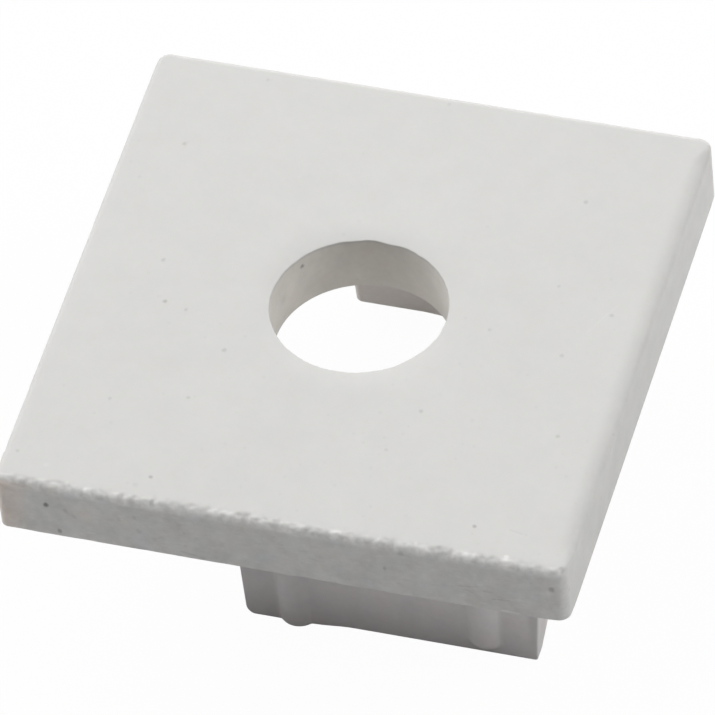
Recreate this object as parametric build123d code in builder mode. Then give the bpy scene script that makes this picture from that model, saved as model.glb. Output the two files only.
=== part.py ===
from build123d import *
from math import radians, tan
import os

# Profile end cap: a square plate with a cable hole, and two press-in tabs under it.
# The whole cap is one injection moulding, so it is one solid.
#
# Frame, in millimetres: the origin is the centre of the cable hole on the plate's
# underside, the face that seats on the cut end of the profile. +Z goes out through
# the plate's outer face, and +X towards the side that the tabs are offset to.

# Plate
plate_size = 20.0
plate_thickness = 2.55
plate_corner_radius = 0.5
plate_edge_radius = 0.4  # rounding where the outer face meets the four sides

# Cable hole
hole_diameter = 6.0

# Tabs: two upright walls, one each side of the hole, pressed into the profile
tab_span = 15.15  # over the outer faces of both tabs
tab_length = 10.3  # along X, at the tip
tab_offset = 2.78  # middle of the tabs, from the hole's centre along X
tab_height = 5.44  # from the underside to the tip
tab_thickness = 1.45
tab_tip_thickness = 0.55
tab_lead_in = 0.72  # height over which the inner face slopes in to the tip
tab_near_draft = 2.0  # degrees, each end slopes in towards the tip
tab_far_draft = 3.9
tab_upright_radius = 0.28  # upright edge where the near end meets the inner face
tab_tip_radius = 0.08  # both long edges of the tip
tab_near_corner_radius = 0.38  # tip corner nearest the plate's middle
tab_far_corner_radius = 0.08  # tip corner on the offset side

# Crush ribs: two half-round ribs on each tab's outer face, with domed lower ends
rib_radius = 0.73
rib_proud = 0.28  # how far a rib stands out from the tab
rib_root = 0.3  # how deep a rib is buried in the tab's wall
near_rib_inset = 1.79  # from the tab's near end to the rib's middle, at the tip
far_rib_inset = 1.83
near_rib_end = 0.28  # height of the dome's centre above the tip
far_rib_end = 0.78  # the far rib stops short of the tip

# Worked out from the dimensions above
tab_outer_face = tab_span / 2
tab_inner_face = tab_outer_face - tab_thickness
tab_near_end = tab_offset - tab_length / 2
tab_far_end = tab_offset + tab_length / 2
near_flare = tab_height * tan(radians(tab_near_draft))
far_flare = tab_height * tan(radians(tab_far_draft))
rib_axis = tab_outer_face + rib_proud - rib_radius
rib_cut = rib_radius - rib_proud - rib_root
near_rib_x = tab_near_end + near_rib_inset
far_rib_x = tab_far_end - far_rib_inset

# One rib: an upright round bar on a ball centred at the origin, of which only the
# slice that faces -Y is kept.
with BuildPart() as rib:
    Cylinder(rib_radius, tab_height, align=(Align.CENTER, Align.CENTER, Align.MIN))
    Sphere(rib_radius)
    split(bisect_by=Plane.XZ.offset(rib_cut), keep=Keep.TOP)

# The tab on the -Y side: its outline from the front, narrowed to its end section
with BuildPart() as tab:
    with BuildSketch(Plane.XZ.offset(tab_inner_face)) as tab_outline:
        with BuildLine():
            Polyline(
                (tab_near_end - near_flare, 0),
                (tab_near_end, -tab_height),
                (tab_far_end, -tab_height),
                (tab_far_end + far_flare, 0),
                close=True,
            )
        make_face()
        near_corner = tab_outline.vertices().group_by(Axis.Y)[0].sort_by(Axis.X)[0]
        fillet(near_corner, tab_near_corner_radius)
        far_corner = tab_outline.vertices().group_by(Axis.Y)[0].sort_by(Axis.X)[-1]
        fillet(far_corner, tab_far_corner_radius)
    extrude(amount=tab_thickness)

    with BuildSketch(Plane.YZ) as tab_section:
        with BuildLine():
            Polyline(
                (-tab_outer_face, 0),
                (-tab_outer_face, -tab_height),
                (-tab_outer_face + tab_tip_thickness, -tab_height),
                (-tab_inner_face, -tab_height + tab_lead_in),
                (-tab_inner_face, 0),
                close=True,
            )
        make_face()
        fillet(tab_section.vertices().group_by(Axis.Y)[0], tab_tip_radius)
    extrude(amount=plate_size, both=True, mode=Mode.INTERSECT)

    inner_face = tab.faces().sort_by(Axis.Y)[-1]
    fillet(inner_face.edges().sort_by(Axis.X)[0], tab_upright_radius)

    with Locations(
        (near_rib_x, -rib_axis, near_rib_end - tab_height),
        (far_rib_x, -rib_axis, far_rib_end - tab_height),
    ):
        add(rib.part)
    split(bisect_by=Plane.XY.offset(-tab_height), keep=Keep.TOP)

with BuildPart() as end_cap:
    # Plate, rounded round its outer face
    with BuildSketch(Plane.XY):
        RectangleRounded(plate_size, plate_size, plate_corner_radius)
    extrude(amount=plate_thickness)
    fillet(end_cap.edges().group_by(Axis.Z)[-1], plate_edge_radius)

    # Cable hole through the middle
    with Locations((0, 0, plate_thickness)):
        Hole(hole_diameter / 2, depth=plate_thickness)

    # The two tabs, mirror images of each other
    add(tab.part)
    mirror(tab.part, about=Plane.XZ)

end_cap.part.label = "end_cap"

os.makedirs("parts", exist_ok=True)
export_step(end_cap.part, "parts/end_cap.step")
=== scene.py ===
from math import cos, radians, sin, tan

import bmesh
import bpy
import numpy as np
from mathutils import Matrix, Vector


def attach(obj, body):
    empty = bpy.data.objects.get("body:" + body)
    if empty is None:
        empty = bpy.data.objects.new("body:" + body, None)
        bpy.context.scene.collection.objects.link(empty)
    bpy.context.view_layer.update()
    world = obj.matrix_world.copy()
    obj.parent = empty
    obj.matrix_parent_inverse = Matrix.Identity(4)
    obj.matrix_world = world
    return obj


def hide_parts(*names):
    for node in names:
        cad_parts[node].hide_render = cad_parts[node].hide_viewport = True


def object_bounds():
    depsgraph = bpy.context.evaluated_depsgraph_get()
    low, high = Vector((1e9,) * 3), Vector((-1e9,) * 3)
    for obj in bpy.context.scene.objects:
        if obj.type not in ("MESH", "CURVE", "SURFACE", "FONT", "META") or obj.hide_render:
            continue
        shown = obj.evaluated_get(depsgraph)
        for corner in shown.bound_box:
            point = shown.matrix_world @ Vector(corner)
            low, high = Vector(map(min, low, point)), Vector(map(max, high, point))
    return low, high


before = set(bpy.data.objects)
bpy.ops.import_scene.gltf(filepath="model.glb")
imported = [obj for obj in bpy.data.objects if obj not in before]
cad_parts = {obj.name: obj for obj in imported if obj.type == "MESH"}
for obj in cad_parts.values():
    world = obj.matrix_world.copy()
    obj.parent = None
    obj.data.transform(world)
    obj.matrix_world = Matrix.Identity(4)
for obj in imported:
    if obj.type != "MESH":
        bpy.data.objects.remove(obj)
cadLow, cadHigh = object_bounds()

mm = 0.001
plateTop = cadHigh[2]
tipZ = cadLow[2]
halfSide = cadHigh[0]


def directionFrom(azimuth, elevation):
    # azimuth 0 is the front, 90 the +X side
    a, e = radians(azimuth), radians(elevation)
    return Vector((sin(a) * cos(e), -cos(a) * cos(e), sin(e)))


def addNode(tree, kind, inputs=None, **settings):
    # Each input is a plain value or another node's output, which is linked.
    node = tree.nodes.new("ShaderNode" + kind)
    for key, value in settings.items():
        setattr(node, key, value)
    for key, value in (inputs or {}).items():
        if isinstance(value, bpy.types.NodeSocket):
            tree.links.new(value, node.inputs[key])
        else:
            node.inputs[key].default_value = value
    return node


def calc(tree, operation, *values):
    return addNode(tree, "Math", dict(enumerate(values)), operation=operation).outputs[0]


# The camera looks down on the cap from the front and a little to the right.
view = {
    "lens": 503.5,
    "azimuth": 20.51,
    "elevation": 48.9,
    "roll": 6.27,
    "distance": 340.8 * mm,
    "clip": (0.01, 10.0),
    "lookAt": (0.255 * mm, -1.231 * mm, 1.301 * mm),
}


def makeCamera(v):
    data = bpy.data.cameras.new("view")
    data.lens = v["lens"]
    data.clip_start, data.clip_end = v["clip"]
    camera = bpy.data.objects.new("view", data)
    bpy.context.scene.collection.objects.link(camera)
    back = directionFrom(v["azimuth"], v["elevation"])
    camera.location = Vector(v["lookAt"]) + back * v["distance"]
    level = (-back).to_track_quat("-Z", "Y").to_matrix()
    camera.rotation_euler = (level @ Matrix.Rotation(radians(-v["roll"]), 3, "Z")).to_euler()
    bpy.context.scene.camera = camera


# Round soft boxes: azimuth, elevation, spread in degrees, and the light each gives a surface facing it.
studio = {
    "softBoxes": {
        "keyBox": (112, 40, 24, 0.67),
        "rightBox": (90, 33, 60, 0.98),
        "backBox": (180, 34, 60, 1.29),
        "backLeftBox": (225, 33, 55, 1.34),
        "leftBox": (270, 33, 55, 1.48),
        "frontBox": (0, 35, 30, 0.12),
    },
    "boxDistance": 0.5,
    "skyStrength": 0.01,
    "floorColour": (0.8, 0.8, 0.8),
    "floorRoughness": 0.9,
    "floorShine": 0.1,
    "floorGlow": 0.97,  # how far the seen floor is lifted towards white, which thins its shadows
    "floorSize": 3.0,
}


def makeSoftBox(name, azimuth, elevation, spread, strength, distance):
    # A disk of radius D tan(h) at distance D gives a surface facing it P sin(h)^2 / (pi D^2 tan(h)^2).
    half = radians(spread / 2)
    light = bpy.data.lights.new(name, "AREA")
    light.shape = "DISK"
    light.size = 2 * distance * tan(half)
    light.energy = strength * np.pi * distance**2 * tan(half) ** 2 / sin(half) ** 2
    lamp = bpy.data.objects.new(name, light)
    bpy.context.scene.collection.objects.link(lamp)
    towards = directionFrom(azimuth, elevation)
    lamp.location = towards * distance
    lamp.rotation_euler = (-towards).to_track_quat("-Z", "Y").to_euler()


def paleFloor(s):
    # White paper. What the camera sees of it is part paper, part plain white, so its shadows stay faint.
    # From underneath it is clear, so that the cap can be seen from there too.
    material = bpy.data.materials.new("paleFloor")
    material.use_nodes = True
    tree = material.node_tree
    paper = tree.nodes["Principled BSDF"]
    paper.inputs["Base Color"].default_value = (*s["floorColour"], 1)
    paper.inputs["Roughness"].default_value = s["floorRoughness"]
    paper.inputs["Specular IOR Level"].default_value = s["floorShine"]
    white = addNode(tree, "Emission", {"Color": (1, 1, 1, 1), "Strength": 1.0})
    seen = addNode(tree, "LightPath").outputs["Is Camera Ray"]
    share = calc(tree, "MULTIPLY", seen, s["floorGlow"])
    both = addNode(tree, "MixShader", {0: share, 1: paper.outputs[0], 2: white.outputs[0]})
    under = addNode(tree, "NewGeometry").outputs["Backfacing"]
    clear = addNode(tree, "BsdfTransparent").outputs[0]
    oneSided = addNode(tree, "MixShader", {0: under, 1: both.outputs[0], 2: clear})
    tree.links.new(oneSided.outputs[0], tree.nodes["Material Output"].inputs["Surface"])
    return material


def makeStudio(s):
    h = s["floorSize"]
    mesh = bpy.data.meshes.new("floor")
    mesh.from_pydata([(-h, -h, tipZ), (h, -h, tipZ), (h, h, tipZ), (-h, h, tipZ)], [], [(0, 1, 2, 3)])
    floor = bpy.data.objects.new("floor", mesh)
    bpy.context.scene.collection.objects.link(floor)
    mesh.materials.append(paleFloor(s))

    for name, (azimuth, elevation, spread, strength) in s["softBoxes"].items():
        makeSoftBox(name, azimuth, elevation, spread, strength, s["boxDistance"])

    # Past the floor the camera sees white. The cap is lit by skyStrength alone.
    world = bpy.data.worlds.new("sky")
    world.use_nodes = True
    tree = world.node_tree
    sky = tree.nodes["Background"]
    sky.inputs["Color"].default_value = (1, 1, 1, 1)
    seen = addNode(tree, "LightPath").outputs["Is Camera Ray"]
    tree.links.new(calc(tree, "MAXIMUM", seen, s["skyStrength"]), sky.inputs["Strength"])
    bpy.context.scene.world = world
    bpy.context.scene.view_settings.view_transform = "Standard"


makeCamera(view)
makeStudio(studio)
print("camera and studio are ready")


def wander(points, wavelength, seed, waves=28):
    # Sum of sines with random directions and phases, all near one wavelength, scaled to about -1 to 1.
    rng = np.random.default_rng(seed)
    direction = rng.normal(size=(waves, 3))
    direction /= np.linalg.norm(direction, axis=1, keepdims=True)
    k = direction * (2 * np.pi / (wavelength * rng.uniform(0.6, 1.5, (waves, 1))))
    phase = rng.uniform(0, 2 * np.pi, waves)
    return np.sin(points @ k.T + phase).sum(-1) / np.sqrt(waves)


def smoothStep(low, high, value):
    # 0 below low, 1 above high, 3t^2 - 2t^3 between
    t = np.clip((value - low) / (high - low), 0, 1)
    return t * t * (3 - 2 * t)


def quarter(count):
    # count angles over a quarter turn, ends included
    return np.linspace(0, np.pi / 2, count)


def gridFaces(rows, columns, closedRows):
    # Quads between neighbouring grid points. The columns always go right round.
    r, c = np.meshgrid(np.arange(rows if closedRows else rows - 1), np.arange(columns), indexing="ij")
    nextR, nextC = (r + 1) % rows, (c + 1) % columns
    here, there = r * columns, nextR * columns
    return np.stack([here + c, here + nextC, there + nextC, there + c], -1).reshape(-1, 4).tolist()


mergeDistance = 0.0003 * mm


def meshFrom(name, vertices, faces):
    # Merges points that meet, turns every face outwards, and links the closed shell as an object.
    mesh = bpy.data.meshes.new(name)
    mesh.from_pydata(vertices.tolist(), [], faces)
    shell = bmesh.new()
    shell.from_mesh(mesh)
    bmesh.ops.remove_doubles(shell, verts=shell.verts, dist=mergeDistance)
    bmesh.ops.recalc_face_normals(shell, faces=shell.faces)
    shell.to_mesh(mesh)
    shell.free()
    piece = bpy.data.objects.new(name, mesh)
    bpy.context.scene.collection.objects.link(piece)
    return piece


# The plate: corners go round from the front left one, anticlockwise seen from above.
plate = {
    "cornerRadii": (0.26 * mm, 0.40 * mm, 0.52 * mm, 0.42 * mm),
    "cornerPull": (0.02 * mm, 0.03 * mm, 0.02 * mm, 0.03 * mm),  # how far the sides lean in at a corner
    "cornerReach": 1.1 * mm,
    "edgeRadii": (0.31 * mm, 0.60 * mm, 0.28 * mm, 0.24 * mm),  # front, right, back, left
    "edgeDrops": (1.0, 0.5, 1.0, 1.0),  # each rounding's depth, as a share of its radius
    "bottomEdgeRadius": 0.05 * mm,
    "bottomRaggedness": 0.012 * mm,
    "bottomRagLength": 0.8 * mm,
    "bottomRagBias": 0.5,
    "bottomRagMost": 2.0,
    "rimRadius": 0.04 * mm,
    "sideColumns": (400, 120, 120, 120),
    "arcColumns": 14,
    "brinkReach": 0.75 * mm,  # the outer face is exactly flat inside this distance from the sides
    "brinkRows": 5,
    "topRows": 8,
    "edgeRows": 12,
    "sideRows": 10,
    "wallRows": 12,
    "rimRows": 5,
    "bottomRows": 4,
    "underRows": 6,
    "edgeWander": 0.05 * mm,  # how much the rounding of the front edge swells and shrinks
    "edgeWanderLength": 2.0 * mm,
    "frontTurn": (0.3, 0.9),  # how squarely a point faces the front where the front edge begins
    "swellLimits": (-0.5, 0.9),  # as shares of the edge's usual radius
    "cornerShare": 0.9,  # at a corner the edge's radius is at most this share of the corner's own
    "cornerGrowth": 0.5,  # and grows by this much for each step away from the corner
    "edgeNibble": 0.043 * mm,
    "edgeNibbleLength": 0.5 * mm,
    "edgePit": 0.012 * mm,
    "edgePitLength": 0.22 * mm,
    "pitReach": (0.2 * mm, 0.55 * mm),  # the pits fade out over this distance from the sides
    "pitDrop": (0.3 * mm, 0.8 * mm),  # and this depth below the outer face
    "pitFront": (-0.3, -0.9),  # shares of half a side along Y where the front's deeper pits begin
    "pitBias": 0.4,
    "pitMost": 1.5,
    "pitSquareFrom": 0.9,  # a pit is cut straight down unless it is this close to a side
    "otherEdgesShare": 0.12,
}

# The hole came out slightly oval and a touch off centre. Each flat on its rim has its middle and
# half width in degrees, and its depth.
hole = {
    "radius": 3.025 * mm,
    "oval": 0.055 * mm,
    "shift": (0.06 * mm, 0.0),
    "underWider": 0.03 * mm,  # the wall spreads and leans back a little towards the underside
    "underShift": (-0.08 * mm, 0.17 * mm),
    "raggedness": 0.012 * mm,
    "raggedLengths": (0.9 * mm, 0.35 * mm),  # coarse, fine
    "raggedDepth": 0.5 * mm,
    "flats": ((84, 11, 0.05 * mm), (109, 9, 0.02 * mm), (64, 9, 0.015 * mm)),
}


def plateOutline(p):
    # A square with four corner arcs: each step has its point and its outward normal.
    radii = np.array(p["cornerRadii"])
    centres = np.array([(-1, -1), (1, -1), (1, 1), (-1, 1)]) * (halfSide - radii)[:, None]
    points, normals = [], []
    for k, sideCount in enumerate(p["sideColumns"]):
        turn = np.pi + (k + np.linspace(0, 1, p["arcColumns"], endpoint=False)) * np.pi / 2
        around = np.stack([np.cos(turn), np.sin(turn)], 1)
        square = np.array([cos(np.pi + (k + 1) * np.pi / 2), sin(np.pi + (k + 1) * np.pi / 2)])
        start = centres[k] + radii[k] * square
        finish = centres[(k + 1) % 4] + radii[(k + 1) % 4] * square
        along = np.linspace(0, 1, sideCount, endpoint=False)[:, None]
        points += [centres[k] + radii[k] * around, start + (finish - start) * along]
        normals += [around, square + 0 * along]
    return np.concatenate(points), np.concatenate(normals)


def holeOutline(angle, h, ragged):
    # r = radius + oval cos 2a, less each flat's depth times cos^2 across its width, plus fine raggedness
    # at the rim; its centre is shifted.
    ring = np.stack([np.cos(angle), np.sin(angle), 0 * angle], 1) * h["radius"]
    r = h["radius"] + h["oval"] * np.cos(2 * angle)
    if ragged:
        for middle, halfWidth, depth in h["flats"]:
            away = np.angle(np.exp(1j * (angle - radians(middle)))) / radians(halfWidth)
            r -= depth * np.cos(np.clip(away, -1, 1) * np.pi / 2) ** 2
        coarse, fine = h["raggedLengths"]
        r += h["raggedness"] * (0.6 * wander(ring, coarse, 5) + 0.4 * wander(ring, fine, 6))
    return ring[:, :2] / h["radius"] * r[:, None] + np.array(h["shift"])


def makePlateSurface(p, h):
    # One closed section carried round the outline: up the hole's wall, over its rim, across the top, down
    # the rounded edge and the side, and back under to the hole. Rows follow the section, columns the
    # outline. A rounding's point at angle a is the side's less r (1 - sin a), and r (1 - cos a) down.
    point, normal = plateOutline(p)
    angle = np.arctan2(point[:, 1], point[:, 0])
    cleanHole, raggedHole = holeOutline(angle, h, False), holeOutline(angle, h, True)
    outward = cleanHole / np.linalg.norm(cleanHole, axis=1, keepdims=True)
    rows = []

    def add(xy, z):
        rows.append(np.column_stack([xy, np.broadcast_to(z, len(xy))]))

    # The front edge's rounding swells and shrinks along its length, the other edges' much less.
    flat = np.column_stack([point, 0 * angle])
    share = p["otherEdgesShare"] + (1 - p["otherEdgesShare"]) * smoothStep(*p["frontTurn"], -normal[:, 1])
    swell = p["edgeWander"] * wander(flat, p["edgeWanderLength"], 11)
    swell += p["edgeNibble"] * wander(flat, p["edgeNibbleLength"], 12)
    facing = np.stack([-normal[:, 1], normal[:, 0], normal[:, 1], -normal[:, 0]], 1)
    facing = np.clip(facing, 0, 1) ** 2
    usual = facing @ np.array(p["edgeRadii"])
    least, most = p["swellLimits"]
    edge = usual + share * np.clip(swell, least * usual, most * usual)
    # A corner arc can't be rounded by more than its own radius.
    fromCorner = np.maximum(2 * halfSide - np.abs(point).sum(1) - max(p["cornerRadii"]), 0)
    edge = np.minimum(edge, p["cornerShare"] * min(p["cornerRadii"]) + p["cornerGrowth"] * fromCorner)
    drop = edge * (facing @ np.array(p["edgeDrops"]))
    rim, low = p["rimRadius"], p["bottomEdgeRadius"]
    lean = outward * h["underWider"] + np.array(h["underShift"])

    for z in np.linspace(0, plateTop - rim, p["wallRows"]):
        worn = smoothStep(plateTop - h["raggedDepth"], plateTop - rim, z)
        add(cleanHole + (raggedHole - cleanHole) * worn + lean * (1 - z / (plateTop - rim)), z)
    for a in quarter(p["rimRows"])[1:]:
        add(raggedHole + outward * rim * (1 - np.cos(a)), plateTop - rim + rim * np.sin(a))
    topInner = raggedHole + outward * rim
    topOuter = point - normal * edge[:, None]
    brink = np.clip(point, p["brinkReach"] - halfSide, halfSide - p["brinkReach"])
    for t in np.linspace(0, 1, p["topRows"] + 1)[1:]:
        add(topInner + (brink - topInner) * t, plateTop)
    for t in np.linspace(0, 1, p["brinkRows"] + 1)[1:]:
        add(brink + (topOuter - brink) * t, plateTop)
    for a in quarter(p["edgeRows"] + 1)[1:]:
        add(point - normal * edge[:, None] * (1 - np.sin(a)), plateTop - drop * (1 - np.cos(a)))
    for t in np.linspace(0, 1, p["sideRows"] + 1)[1:]:
        add(point, (plateTop - drop) * (1 - t) + low * t)
    rag = p["bottomRagBias"] + wander(flat, p["bottomRagLength"], 15)
    bite = p["bottomRaggedness"] * np.clip(rag, 0, p["bottomRagMost"])
    for a in quarter(p["bottomRows"])[1:]:
        add(point - normal * (bite[:, None] * np.sin(a) + low * (1 - np.cos(a))), low - low * np.sin(a))
    underOuter = point - normal * (bite[:, None] + low)
    for t in np.linspace(0, 1, p["underRows"] + 1)[1:-1]:
        add(underOuter + (cleanHole + lean - underOuter) * t, 0.0)
    grid = np.stack(rows)

    # The sides lean in towards each corner.
    x, y, z = grid[..., 0], grid[..., 1], grid[..., 2]
    corner = np.where(y < 0, np.where(x < 0, 0, 1), np.where(x < 0, 3, 2))
    pull = np.array(p["cornerPull"])[corner]
    nearX = smoothStep(halfSide - p["cornerReach"], halfSide, np.abs(x))
    nearY = smoothStep(halfSide - p["cornerReach"], halfSide, np.abs(y))
    grid = grid - np.stack([np.sign(x) * pull * nearX * nearY, np.sign(y) * pull * nearX * nearY, 0 * z], -1)

    # Small pits all along the rounded edges, cut square to the rounding.
    fromSide = halfSide - np.maximum(np.abs(x), np.abs(y))
    onEdge = (1 - smoothStep(*p["pitReach"], fromSide)) * (1 - smoothStep(*p["pitDrop"], plateTop - z))
    begin, full = p["pitFront"]
    front = smoothStep(begin * halfSide, full * halfSide, y)
    depth = p["edgePit"] * np.clip(p["pitBias"] + wander(grid, p["edgePitLength"], 13), 0, p["pitMost"])
    depth = depth * onEdge * (p["otherEdgesShare"] + (1 - p["otherEdgesShare"]) * front)
    inwards = np.stack([-x / halfSide, -y / halfSide, 0 * z], -1)
    inwards = np.where(np.abs(inwards) > p["pitSquareFrom"], np.sign(inwards), 0)
    inwards[..., 2] = -1
    inwards /= np.linalg.norm(inwards, axis=-1, keepdims=True)
    return grid + inwards * depth[..., None]


# The tabs: lengths are along X, heights are above the tip.
tab = {
    "outerFace": 7.575 * mm,
    "rootThickness": 1.45 * mm,
    "tipThickness": 0.55 * mm,
    "leadIn": 0.72 * mm,
    "nearEnd": -2.37 * mm,
    "farEnd": 7.93 * mm,
    "nearDraft": 2.0,
    "farDraft": 3.9,
    "tipRadius": 0.08 * mm,
    "nearCornerRadii": (0.38 * mm, 0.60 * mm),  # front tab, back tab
    "farCornerRadius": 0.08 * mm,
    # upright edges: far outer, far inner, near outer, near inner
    "uprightRadii": (0.07 * mm, 0.07 * mm, 0.07 * mm, 0.28 * mm),
    "rootFillet": 0.12 * mm,
    "rootDepth": 0.4 * mm,
    "bow": 0.1 * mm,  # the tip leans out by this much at its near end
    "bowFrom": 1.35 * mm,
    "bowTo": 0.05 * mm,
    "fineBelow": 1.0 * mm,  # rows stand closer below this height, for the ribs' domes and the tip
    "rootRows": 3,
    "filletRows": 5,
    "wallRows": 26,
    "fineRows": 17,
    "cornerRows": 22,
    "faceColumns": (10, 26, 18, 26, 10),  # near end, rib, middle, rib, far end
    "innerColumns": 40,
    "endColumns": 8,
    "arcColumns": 7,
}

# The ribs: places are along X, heights are above the tip.
rib = {
    "radius": 0.73 * mm,
    "proud": 0.28 * mm,
    "flankBlend": 0.04 * mm,
    "flankReach": 1.25,  # shares of the rib's half width, past which the face is untouched
    "places": (-0.58 * mm, 6.10 * mm),
    "domeHeights": (0.28 * mm, 0.78 * mm),
}


def makeTabSurface(t, r, side):
    # The plan outline at each height, a rectangle with four rounded corners, carried from root to tip. A
    # rounding of radius r has drawn in r - sqrt(r^2 - d^2) at depth d past its start.
    height = -tipZ
    nearCorner = t["nearCornerRadii"][0 if side < 0 else 1]
    rise = np.concatenate([
        np.linspace(height + t["rootDepth"], height, t["rootRows"])[:-1],
        height - t["rootFillet"] * (1 - np.cos(quarter(t["filletRows"])[:-1])),
        np.linspace(height - t["rootFillet"], t["fineBelow"], t["wallRows"])[:-1],
        np.linspace(t["fineBelow"], nearCorner, t["fineRows"])[:-1],
        nearCorner * (1 - np.sin(quarter(t["cornerRows"]))),
    ])

    def rounding(radius):
        # how far a rounded corner of that radius has drawn in, at each height above the tip
        below = np.clip(radius - rise, 0, radius)
        return radius - np.sqrt(radius**2 - below**2)

    under = np.clip(height - rise, 0, t["rootFillet"])
    root = t["rootFillet"] - np.sqrt(t["rootFillet"] ** 2 - (t["rootFillet"] - under) ** 2)
    depth = np.minimum(rise, height)
    nearX = t["nearEnd"] - tan(radians(t["nearDraft"])) * depth + rounding(nearCorner) - root
    farX = t["farEnd"] + tan(radians(t["farDraft"])) * depth - rounding(t["farCornerRadius"]) + root
    slope = (t["rootThickness"] - t["tipThickness"]) / t["leadIn"]
    thickness = t["tipThickness"] + slope * np.minimum(rise, t["leadIn"])
    outerY = t["outerFace"] - rounding(t["tipRadius"]) + root
    innerY = t["outerFace"] - thickness + rounding(t["tipRadius"]) - root

    # Along X the outer face is divided at the ribs' flanks, so their edges fall on grid lines.
    farOuter, farInner, nearOuter, nearInner = t["uprightRadii"]
    halfWidth = np.sqrt(r["radius"] ** 2 - (r["radius"] - r["proud"]) ** 2)
    one = np.ones_like(rise)
    bounds = [nearX + nearOuter]
    for place in r["places"]:
        bounds += [(place - halfWidth) * one, (place + halfWidth) * one]
    bounds.append(farX - farOuter)

    def between(start, finish, count):
        return start[:, None] + (finish - start)[:, None] * np.linspace(0, 1, count, endpoint=False)

    def arc(centreX, centreY, radius, startAngle):
        # a quarter turn clockwise, from the outer face towards the inner one
        turn = radians(startAngle) - np.linspace(0, np.pi / 2, t["arcColumns"], endpoint=False)
        return centreX[:, None] + radius * np.cos(turn), centreY[:, None] + radius * np.sin(turn)

    spans = zip(bounds[:-1], bounds[1:], t["faceColumns"])
    outerX = np.concatenate([between(start, finish, count) for start, finish, count in spans], 1)
    innerX = between(farX - farInner, nearX + nearInner, t["innerColumns"])
    level = np.zeros(t["endColumns"])
    stretches = [
        (outerX, outerY[:, None] + 0 * outerX),
        arc(farX - farOuter, outerY - farOuter, farOuter, 90),
        (farX[:, None] + level, between(outerY - farOuter, innerY + farInner, t["endColumns"])),
        arc(farX - farInner, innerY + farInner, farInner, 0),
        (innerX, innerY[:, None] + 0 * innerX),
        arc(nearX + nearInner, innerY + nearInner, nearInner, -90),
        (nearX[:, None] + level, between(innerY + nearInner, outerY - nearOuter, t["endColumns"])),
        arc(nearX + nearOuter, outerY - nearOuter, nearOuter, 180),
    ]
    x = np.concatenate([alongX for alongX, alongY in stretches], 1)
    y = np.concatenate([alongY for alongX, alongY in stretches], 1)
    h = rise[:, None]

    # Rib: a round bar with a ball end stands sqrt(r^2 - d^2) - (r - proud) out of the outer face, where d is
    # the distance from its axis, or from the ball's centre below the dome; softened where it meets the face.
    faceX = x[:, : outerX.shape[1]]
    for place, dome in zip(r["places"], r["domeHeights"]):
        across = (faceX - place) ** 2 + np.minimum(h - dome, 0) ** 2
        bar = np.sqrt(np.clip(r["radius"] ** 2 - across, 0, None)) - (r["radius"] - r["proud"])
        near = across < (r["flankReach"] * halfWidth) ** 2
        stand = 0.5 * (bar + np.sqrt(bar**2 + r["flankBlend"] ** 2)) * near
        y[:, : outerX.shape[1]] += stand
    y += t["bow"] * (1 - smoothStep(t["bowTo"], t["bowFrom"], x)) * (1 - smoothStep(0, height, h))
    wall = np.stack([x, y * side, h - height + 0 * x], -1)
    rows, columns = wall.shape[:2]
    ends = [list(range(columns)), list(range((rows - 1) * columns, rows * columns))]
    return wall.reshape(-1, 3), gridFaces(rows, columns, False) + ends


sharpAngle = 38  # degrees between faces, past which their edge is shaded as a sharp one


def makeCap():
    grid = makePlateSurface(plate, hole)
    cap = meshFrom("endCapSkin", grid.reshape(-1, 3), gridFaces(*grid.shape[:2], True))
    tabs = [meshFrom("tabShell", *makeTabSurface(tab, rib, side)) for side in (-1, 1)]
    for shell in tabs:
        union = cap.modifiers.new("join", "BOOLEAN")
        union.operation = "UNION"
        union.solver = "EXACT"
        union.object = shell
    bpy.context.view_layer.update()
    whole = bpy.data.meshes.new_from_object(cap.evaluated_get(bpy.context.evaluated_depsgraph_get()))
    cap.modifiers.clear()
    cap.data = whole
    for shell in tabs:
        bpy.data.objects.remove(shell)
    whole.polygons.foreach_set("use_smooth", np.ones(len(whole.polygons), bool))
    whole.set_sharp_from_angle(angle=radians(sharpAngle))
    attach(cap, "root")
    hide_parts("end_cap")
    return cap


cap = makeCap()
print("cap surface:", len(cap.data.vertices), "points,", len(cap.data.polygons), "faces")


def newGroup(name, inputs, outputs):
    # A shader group with named sockets: its tree, its inputs as seen inside, and a function to set an output.
    tree = bpy.data.node_groups.new(name, "ShaderNodeTree")
    for socket, value in inputs.items():
        kind = "NodeSocketFloat" if isinstance(value, float) else "NodeSocketVector"
        tree.interface.new_socket(socket, in_out="INPUT", socket_type=kind).default_value = value
    for socket in outputs:
        tree.interface.new_socket(socket, in_out="OUTPUT", socket_type="NodeSocketFloat")
    inside = tree.nodes.new("NodeGroupInput").outputs
    ending = tree.nodes.new("NodeGroupOutput").inputs
    return tree, inside, lambda socket, value: tree.links.new(value, ending[socket])


def ramp(tree, value, low, high, outLow=0.0, outHigh=1.0):
    inputs = {"Value": value, "From Min": low, "From Max": high, "To Min": outLow, "To Max": outHigh}
    return addNode(tree, "MapRange", inputs, interpolation_type="SMOOTHSTEP").outputs[0]


def noise(tree, vector, scale):
    inputs = {"Vector": vector, "Scale": scale, "Detail": 2.0, "Roughness": 0.55}
    return addNode(tree, "TexNoise", inputs).outputs[0]


def scaled(tree, vector, factor):
    return addNode(tree, "VectorMath", {0: vector, 1: factor}, operation="MULTIPLY").outputs[0]


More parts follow.
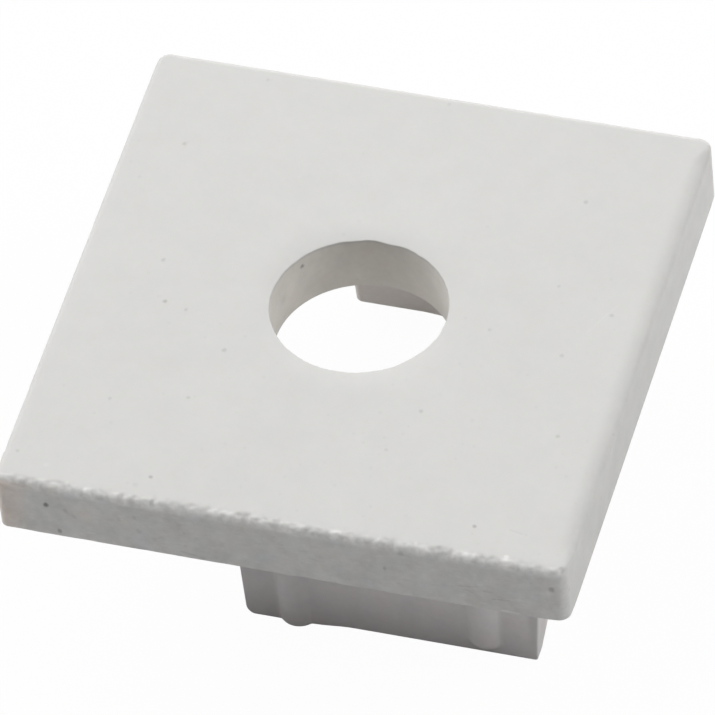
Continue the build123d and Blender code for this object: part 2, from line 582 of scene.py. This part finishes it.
def makeCellsGroup():
    # Cells: noise with one cell each Size, squeezed by Stretch. Swing is -1 to 1 about its middle; High
    # and Low are masks of its sparse peaks and hollows.
    inputs = {"Vector": (0, 0, 0), "Stretch": (1, 1, 1), "Size": 0.001, "Contrast": 2.5}
    tree, inside, put = newGroup("cells", inputs, ["Swing", "High", "Low"])
    scale = calc(tree, "DIVIDE", 1.0, inside["Size"])
    value = noise(tree, scaled(tree, inside["Vector"], inside["Stretch"]), scale)
    put("High", ramp(tree, value, 0.57, 0.72))
    put("Low", ramp(tree, value, 0.43, 0.28))
    swing = calc(tree, "MULTIPLY", calc(tree, "SUBTRACT", value, 0.5), inside["Contrast"])
    put("Swing", calc(tree, "MINIMUM", calc(tree, "MAXIMUM", swing, -1.0), 1.0))
    return tree


def makeSpeckGroup():
    # Speck: Strength at Centre, 0 past Radius, a little taller than wide, its outline bent by Uneven.
    inputs = {"Vector": (0, 0, 0), "Centre": (0, 0, 0), "Radius": 0.0001, "Strength": 1.0, "Uneven": 0.5}
    tree, inside, put = newGroup("speck", inputs, ["Mask"])
    both = {0: inside["Vector"], 1: inside["Centre"]}
    off = addNode(tree, "VectorMath", both, operation="SUBTRACT").outputs[0]
    squeezed = {0: scaled(tree, off, (1, 1, 0.75))}
    away = addNode(tree, "VectorMath", squeezed, operation="LENGTH").outputs["Value"]
    radius = calc(tree, "MULTIPLY", inside["Radius"], calc(tree, "ADD", 0.5, inside["Uneven"]))
    share = calc(tree, "DIVIDE", away, radius)
    put("Mask", calc(tree, "MULTIPLY", ramp(tree, share, 0.35, 1.25, 1.0, 0.0), inside["Strength"]))
    return tree


def makeScuffGroup():
    # Scuff: Strength along the line from Start to End, 0 past Width from it, broken where Uneven is low.
    # Distance to the line = |p - a - (b - a) clamp((p - a).(b - a) / (b - a).(b - a))|
    inputs = {"Vector": (0, 0, 0), "Start": (0, 0, 0), "End": (1, 0, 0), "Width": 0.0001, "Strength": 1.0}
    tree, inside, put = newGroup("scuff", {**inputs, "Uneven": 0.5}, ["Mask"])

    def vector(operation, a, b, output=0):
        return addNode(tree, "VectorMath", {0: a, 1: b}, operation=operation).outputs[output]

    fromStart = vector("SUBTRACT", inside["Vector"], inside["Start"])
    line = vector("SUBTRACT", inside["End"], inside["Start"])
    along, whole = vector("DOT_PRODUCT", fromStart, line, "Value"), vector("DOT_PRODUCT", line, line, "Value")
    share = calc(tree, "DIVIDE", along, whole)
    share = calc(tree, "MINIMUM", calc(tree, "MAXIMUM", share, 0.0), 1.0)
    foot = addNode(tree, "VectorMath", {0: line, "Scale": share}, operation="SCALE").outputs[0]
    away = vector("DISTANCE", fromStart, foot, "Value")
    broken = ramp(tree, inside["Uneven"], 0.3, 0.5)
    across = ramp(tree, calc(tree, "DIVIDE", away, inside["Width"]), 0.2, 1.0, 1.0, 0.0)
    put("Mask", calc(tree, "MULTIPLY", calc(tree, "MULTIPLY", across, broken), inside["Strength"]))
    return tree


def makeDustGroup():
    # Dust: round specks, one in some of the Voronoi cells, each cell with its own size and, by its blue
    # value raised to Fading, its own strength.
    inputs = {"Vector": (0, 0, 0), "Spacing": 0.001, "Radius": 0.0001, "Share": 0.4, "Fading": 0.0}
    tree, inside, put = newGroup("dust", inputs, ["Mask"])
    scale = calc(tree, "DIVIDE", 1.0, inside["Spacing"])
    cell = addNode(tree, "TexVoronoi", {"Vector": inside["Vector"], "Scale": scale})
    away = calc(tree, "MULTIPLY", cell.outputs["Distance"], inside["Spacing"])
    parts = addNode(tree, "SeparateColor", {0: cell.outputs["Color"]})
    size = calc(tree, "MULTIPLY", inside["Radius"], ramp(tree, parts.outputs[1], 0.0, 1.0, 0.6, 1.6))
    spot = ramp(tree, calc(tree, "DIVIDE", away, size), 0.5, 1.2, 1.0, 0.0)
    there = calc(tree, "LESS_THAN", parts.outputs[0], inside["Share"])
    strength = calc(tree, "POWER", parts.outputs[2], inside["Fading"])
    put("Mask", calc(tree, "MULTIPLY", calc(tree, "MULTIPLY", spot, there), strength))
    return tree


groups = {
    "cells": makeCellsGroup(),
    "speck": makeSpeckGroup(),
    "scuff": makeScuffGroup(),
    "dust": makeDustGroup(),
}
print("surface effects:", ", ".join(groups))


# The plastic: shades are shares of its base colour, lengths are those of the real surface.
plastic = {
    "baseColour": (0.62, 0.615, 0.60),
    "roughness": 0.56,
    "mottleRoughness": 0.08,
    "grainRoughness": 0.04,
    "driftSize": 5 * mm,
    "drift": 0.02,
    "mottleSize": 0.26 * mm,
    "mottle": 0.085,
    "cloudSize": 1.1 * mm,
    "cloud": 0.13,
    "dashLength": 0.36 * mm,
    "dashWidth": 0.15 * mm,
    "dash": 0.055,
    "topShare": 0.18,  # how much of the front's mottling the outer face has
    "otherShare": 0.5,  # and the other sides, the hole and the tabs
    "tintSize": 0.9 * mm,
    "warmTint": (1.0, 0.958, 0.94),
    "coolTint": (0.94, 0.97, 1.0),
    "tintContrast": 3.0,
    "sideFade": (0.02 * mm, 0.25 * mm),  # depths below the outer face over which the sides' look begins
    "frontFade": (0.5 * mm, 0.2 * mm),  # distances behind the front over which its look begins
    "holeFade": (3.4 * mm, 3.2 * mm),  # distances from the hole's middle
    "rimFade": (0.03 * mm, 0.15 * mm),
    "cornerFade": (0.2 * mm, 1.5 * mm),
    "tabFade": (0.0, -0.15 * mm),  # heights
    "faceFade": (-6.9 * mm, -7.1 * mm),  # the front tab's outer face begins between these, along Y
    # where the painted light on the tabs' inner faces begins, along Y
    "innerFade": (6.7 * mm, 6.3 * mm),
    # where the painted light on the front tab's outer face reaches: heights, then its start and finish along
    # X
    "rootHeights": (-5.3 * mm, -2.9 * mm),
    "rootStart": (-2.0 * mm, 2.5 * mm),
    "rootFinish": (7.85 * mm, 7.6 * mm),
    # where the painted shade near the front tab's tip reaches: heights, then along X
    "nearTipHeights": (-3.4 * mm, -5.3 * mm),
    "nearTipReach": (1.8 * mm, -1.2 * mm),
    "unevenSize": mm / 7,
    # the front edge's frost: a worn, frosted edge, paled partly as painted light
    "frostAndLightReach": (0.32 * mm, 0.128 * mm),  # distances behind the front where the frost and its painted light begin and are full
    "frostAndLightDrop": (0.46 * mm, 0.092 * mm),  # and depths below the outer face
    "frostAndLightPatch": 0.34 * mm,
    "frostAndPaintedLight": 0.32,
    "frostAndLightSwing": 1.3,
    # painted glints: pale spots along the front edge
    "paintedGlintSpacing": 0.8 * mm,
    "paintedGlintRadius": 0.05 * mm,
    "paintedGlint": 0.10,
    "grainCell": 0.085 * mm,
    "waveCell": 0.35 * mm,
    "bumpDepth": 0.01 * mm,
    "grain": 0.10,
    "wave": 0.28,
    "edgeWave": 0.6,
    "edgeGrain": 0.24,
    # painted light: the hole's wall is painted paler and warmer
    "holePaintedLight": (1.15, 1.12, 1.085),
    # painted light: a slight tint painted over the tabs for their lighting
    "tabPaintedLightTint": (1.01, 0.98, 1.0),
    "rootPaintedLight": (1.22, 1.22, 1.22),  # painted light: the front tab's outer face is painted paler towards the plate
    # painted shade: the front tab is painted darker near its tip
    "nearTipPaintedShade": (0.84, 0.83, 0.83),
    # painted light: the tabs' faces towards each other are painted paler
    "innerPaintedLight": (1.32, 1.29, 1.23),
    "cornerDirt": (1.04, 0.95, 0.90),
    "dustSpacing": 0.34 * mm,
    "dustRadius": 0.055 * mm,
    "dustShare": 0.5,  # of the cells in the dustiest patches
    "dustPatch": 3 * mm,
    "dustPatchFade": (0.4, 0.6, 0.3, 1.0),
    "dustReach": (3 * mm, -4 * mm, 0.2, 1.0),  # along Y, from the clean half to the dusty one
    "dustFading": 2.0,  # 0 makes all specks equal, more makes most of them faint
    "dust": 0.12,
}

# Marks on the plastic, in millimetres. A speck has its place, its radius and its strength; a scuff its
# two ends, its width and its strength. Strength is the share by which a mark darkens or pales the
# plastic; a scuff pales it, or darkens it where its strength is negative.
marks = {
    "darkSpecks": (
        ((-8.20, -10.0, 1.56), 0.105, 0.62),
        ((-7.83, -10.0, 0.28), 0.09, 0.42),
        ((-7.53, -10.0, 1.41), 0.10, 0.16),
        ((-9.20, -10.0, 0.40), 0.10, 0.10),
        ((-4.41, -9.86, 2.48), 0.10, 0.32),
        ((9.49, -10.0, 1.65), 0.12, 0.34),
        ((3.67, -10.0, 1.27), 0.08, 0.22),
        ((4.30, -9.98, 2.2), 0.12, 0.18),
        ((-4.97, -10.0, 0.98), 0.11, 0.12),
        ((-4.44, -10.0, 0.70), 0.10, 0.10),
        ((-5.07, -10.0, 1.67), 0.09, 0.14),
        ((-5.63, -10.0, 1.44), 0.09, 0.10),
        ((-3.51, -10.0, 1.69), 0.12, 0.08),
        ((-7.23, -10.0, 1.17), 0.10, 0.10),
        ((-4.75, -8.85, 2.55), 0.085, 0.30),
        ((-5.16, -9.29, 2.55), 0.12, 0.07),
        ((6.5, -8.6, 2.55), 0.085, 0.26),
        ((-9.5, -8.7, 2.55), 0.08, 0.12),
        ((-7.9, 5.9, 2.55), 0.09, 0.16),
        ((-9.0, 4.1, 2.55), 0.08, 0.06),
        ((-5.9, 9.4, 2.55), 0.08, 0.08),
        ((0.6, 9.6, 2.55), 0.08, 0.08),
        ((-7.1, 0.6, 2.55), 0.09, 0.15),
        ((-6.5, -1.2, 2.55), 0.09, 0.26),
        ((-3.9, -2.9, 2.55), 0.10, 0.17),
        ((6.4, 6.2, 2.55), 0.10, 0.17),
        ((6.5, 2.3, 2.55), 0.08, 0.11),
        ((8.2, -4.2, 2.55), 0.09, 0.16),
        ((3.4, -4.1, 2.55), 0.09, 0.16),
        ((8.6, 1.4, 2.55), 0.09, 0.14),
        ((7.4, -0.7, 2.55), 0.09, 0.13),
        ((-4.5, -5.2, 2.55), 0.08, 0.13),
        ((-5.7, -1.4, 2.55), 0.08, 0.12),
        ((4.7, -0.1, 2.55), 0.08, 0.12),
        ((-7.1, -5.8, 2.55), 0.08, 0.12),
        ((2.7, -6.0, 2.55), 0.08, 0.10),
        ((-2.46, 1.70, 2.06), 0.10, 0.50),
        ((-2.86, 0.82, 1.2), 0.24, 0.08),
    ),
    "paleSpecks": (
        ((-7.46, -9.72, 2.54), 0.09, 0.22),
        ((7.89, -9.66, 2.54), 0.11, 0.22),
        ((4.77, -9.72, 2.54), 0.08, 0.16),
        ((-8.37, -9.09, 2.55), 0.10, 0.05),
        ((9.36, -10.0, 1.41), 0.11, 0.10),
    ),
    "scuffs": (
        ((7.87, -10.0, 0.70), (8.33, -10.0, 0.82), 0.05, 0.10),
        ((8.33, -10.0, 0.82), (8.66, -10.0, 0.75), 0.05, 0.09),
        ((7.70, -10.0, 0.10), (8.25, -10.0, 0.09), 0.07, 0.16),
        ((6.90, -10.0, 1.23), (7.06, -10.0, 1.27), 0.04, 0.12),
        ((6.19, -10.0, 1.01), (6.86, -10.0, 1.11), 0.05, -0.12),
        ((7.38, -10.0, 0.62), (7.95, -10.0, 0.68), 0.05, -0.16),
        ((7.10, -10.0, 0.95), (7.38, -10.0, 0.95), 0.05, -0.12),
        ((6.45, -10.0, 0.88), (6.76, -10.0, 0.75), 0.05, -0.10),
        ((-3.55, -10.0, 0.31), (-2.76, -10.0, 0.14), 0.06, -0.16),
        ((-6.80, -10.0, 0.46), (-6.58, -10.0, 0.46), 0.06, 0.10),
        ((-4.26, -10.0, 0.29), (-4.06, -10.0, 0.29), 0.06, 0.10),
        ((-5.62, -10.0, 1.63), (-5.42, -10.0, 1.63), 0.05, 0.10),
        ((8.0, 0.55, 2.55), (8.7, 1.9, 2.55), 0.05, 0.03),
        ((7.7, -8.5, 2.55), (8.3, -8.6, 2.55), 0.05, -0.06),
    ),
}


def greyPlastic(s, m):
    # Pale grey moulded plastic: a smooth outer face, sides with fine strokes and mottling, a frosted front
    # edge paled partly by painted light and dotted with painted glints, a few specks and scuffs, a fine grain
    # all over, painted light on the hole's wall, the tabs and their inner faces, and painted shade near the
    # front tab's tip.
    material = bpy.data.materials.new("greyPlastic")
    material.use_nodes = True
    tree = material.node_tree
    place = addNode(tree, "TexCoord").outputs["Object"]
    x, y, z = addNode(tree, "SeparateXYZ", {0: place}).outputs

    def effect(name, **inputs):
        return addNode(tree, "Group", {"Vector": place, **inputs}, node_tree=groups[name]).outputs[0]

    def cells(**inputs):
        return addNode(tree, "Group", {"Vector": place, **inputs}, node_tree=groups["cells"]).outputs

    def times(*values):
        result = values[0]
        for value in values[1:]:
            result = calc(tree, "MULTIPLY", result, value)
        return result

    def plus(*values):
        result = values[0]
        for value in values[1:]:
            result = calc(tree, "ADD", result, value)
        return result

    def tinted(colour, mask, tint):
        inputs = {0: mask, 6: colour, 7: (*tint, 1)}
        return addNode(tree, "Mix", inputs, data_type="RGBA", blend_type="MULTIPLY").outputs[2]

    # Masks: the sides below the outer face, the hole's wall for its painted light, the tabs and the parts of
    # them that get painted light and shade, the front side, its left corner, and the worn edge above it,
    # which gets painted light and glints too.
    depth = calc(tree, "SUBTRACT", plateTop, z)
    side = ramp(tree, depth, *s["sideFade"])
    radius = calc(tree, "SQRT", plus(times(x, x), times(y, y)))
    # where the painted light on the hole's wall goes
    holeLightMask = times(ramp(tree, radius, *s["holeFade"]), ramp(tree, depth, *s["rimFade"]))
    onTabs = ramp(tree, z, *s["tabFade"])
    frontFace = times(onTabs, ramp(tree, y, *s["faceFade"]))
    alongFace = times(ramp(tree, x, *s["rootStart"]), ramp(tree, x, *s["rootFinish"]))
    # painted light: the front tab's outer face towards the plate
    rootLightMask = times(frontFace, ramp(tree, z, *s["rootHeights"]), alongFace)
    # painted shade: the front tab near its tip, towards its near end
    nearTip = times(frontFace, ramp(tree, z, *s["nearTipHeights"]), ramp(tree, x, *s["nearTipReach"]))
    # painted light: the tabs' faces towards each other
    innerLightMask = times(onTabs, ramp(tree, calc(tree, "ABSOLUTE", y), *s["innerFade"]))
    fromLeft, fromFront = plus(x, halfSide), plus(y, halfSide)
    frontSide = times(side, ramp(tree, fromFront, *s["frontFade"]))
    otherMore, frontMore = s["otherShare"] - s["topShare"], 1 - s["otherShare"]
    sideShare = plus(s["topShare"], times(side, otherMore), times(frontSide, frontMore))
    cornerAway = calc(tree, "SQRT", plus(times(fromLeft, fromLeft), times(fromFront, fromFront)))
    corner = times(ramp(tree, cornerAway, *s["cornerFade"], 1.0, 0.0), side)
    frontEdge = times(ramp(tree, depth, *s["frostAndLightDrop"]), ramp(tree, fromFront, *s["frostAndLightReach"]))

    # Shade: 1 plus what each effect adds or takes. The frost on the front edge is partly painted light, and
    # its glints are painted highlights.
    mottle = cells(Size=s["mottleSize"])["Swing"]
    dashes = cells(Size=s["dashLength"], Stretch=(1, 1, s["dashLength"] / s["dashWidth"]))
    dash = calc(tree, "SUBTRACT", dashes["High"], dashes["Low"])
    # the frost: pale patches on the worn front edge, partly painted light
    frostAndPaintedLight = plus(1.0, times(cells(Size=s["frostAndLightPatch"])["Swing"], s["frostAndLightSwing"]))
    patch = ramp(tree, noise(tree, place, 1 / s["dustPatch"]), *s["dustPatchFade"])
    offTabs = ramp(tree, onTabs, 0.0, 1.0, 1.0, 0.0)
    share = times(patch, ramp(tree, y, *s["dustReach"]), offTabs, s["dustShare"])
    speckSize = {"Spacing": s["dustSpacing"], "Radius": s["dustRadius"]}
    dust = effect("dust", **speckSize, Share=share, Fading=s["dustFading"])
    # painted glints: pale spots standing for highlights on the front edge
    paintedGlints = effect("dust", Spacing=s["paintedGlintSpacing"], Radius=s["paintedGlintRadius"])
    shade = plus(
        1.0,
        times(cells(Size=s["driftSize"])["Swing"], s["drift"]),
        times(cells(Size=s["cloudSize"])["Swing"], sideShare, s["cloud"]),
        times(mottle, sideShare, s["mottle"]),
        times(dash, frontSide, s["dash"]),
        # the frost and the glints on the front edge are painted light
        times(frostAndPaintedLight, frontEdge, s["frostAndPaintedLight"]),
        times(paintedGlints, frontEdge, s["paintedGlint"]),
        times(dust, -s["dust"]),
    )
    uneven = noise(tree, place, 1 / s["unevenSize"])
    for kind, sign in (("darkSpecks", -1.0), ("paleSpecks", 1.0)):
        for centre, size, strength in m[kind]:
            centre = tuple(value * mm for value in centre)
            spot = effect("speck", Centre=centre, Radius=size * mm, Strength=sign * strength, Uneven=uneven)
            shade = plus(shade, spot)
    for start, end, width, strength in m["scuffs"]:
        start, end = (tuple(value * mm for value in point) for point in (start, end))
        line = effect("scuff", Start=start, End=end, Width=width * mm, Strength=strength, Uneven=uneven)
        shade = plus(shade, line)

    # Colour: the shaded base, drifting warmer and cooler, with painted light on the hole's wall, over the
    # tabs, towards the front tab's root and on the tabs' inner faces, painted shade near the front tab's tip,
    # and tinted at the corner.
    grey = addNode(tree, "CombineColor", {0: shade, 1: shade, 2: shade}).outputs[0]
    shaded = {0: 1.0, 6: grey, 7: (*s["baseColour"], 1)}
    colour = addNode(tree, "Mix", shaded, data_type="RGBA", blend_type="MULTIPLY").outputs[2]
    warm = times(cells(Size=s["tintSize"], Contrast=s["tintContrast"])["Swing"], sideShare)
    colour = tinted(colour, calc(tree, "MAXIMUM", warm, 0.0), s["warmTint"])
    colour = tinted(colour, calc(tree, "MAXIMUM", times(warm, -1.0), 0.0), s["coolTint"])
    # painted light on the hole's wall
    colour = tinted(colour, holeLightMask, s["holePaintedLight"])
    # painted light: the tabs' slight tint
    colour = tinted(colour, onTabs, s["tabPaintedLightTint"])
    # painted light on the front tab towards the plate
    colour = tinted(colour, rootLightMask, s["rootPaintedLight"])
    # painted shade near the front tab's tip
    colour = tinted(colour, nearTip, s["nearTipPaintedShade"])
    # painted light on the tabs' inner faces
    colour = tinted(colour, innerLightMask, s["innerPaintedLight"])
    colour = tinted(colour, corner, s["cornerDirt"])

    # Roughness swings with the mottling; the bump is the grain, a slow wave and the rough front edge.
    grain = cells(Size=s["grainCell"])["Swing"]
    wave = cells(Size=s["waveCell"])["Swing"]
    rough = plus(s["roughness"], times(mottle, s["mottleRoughness"]), times(grain, s["grainRoughness"]))
    height = plus(
        times(grain, plus(times(sideShare, s["grain"]), times(frontEdge, s["edgeGrain"]))),
        times(wave, plus(times(sideShare, s["wave"]), times(frontEdge, s["edgeWave"]))),
    )
    bump = addNode(tree, "Bump", {"Height": height, "Distance": s["bumpDepth"], "Strength": 1.0})

    shader = tree.nodes["Principled BSDF"]
    tree.links.new(colour, shader.inputs["Base Color"])
    tree.links.new(rough, shader.inputs["Roughness"])
    tree.links.new(bump.outputs[0], shader.inputs["Normal"])
    return material


cap.data.materials.clear()
cap.data.materials.append(greyPlastic(plastic, marks))
print("plastic is on")
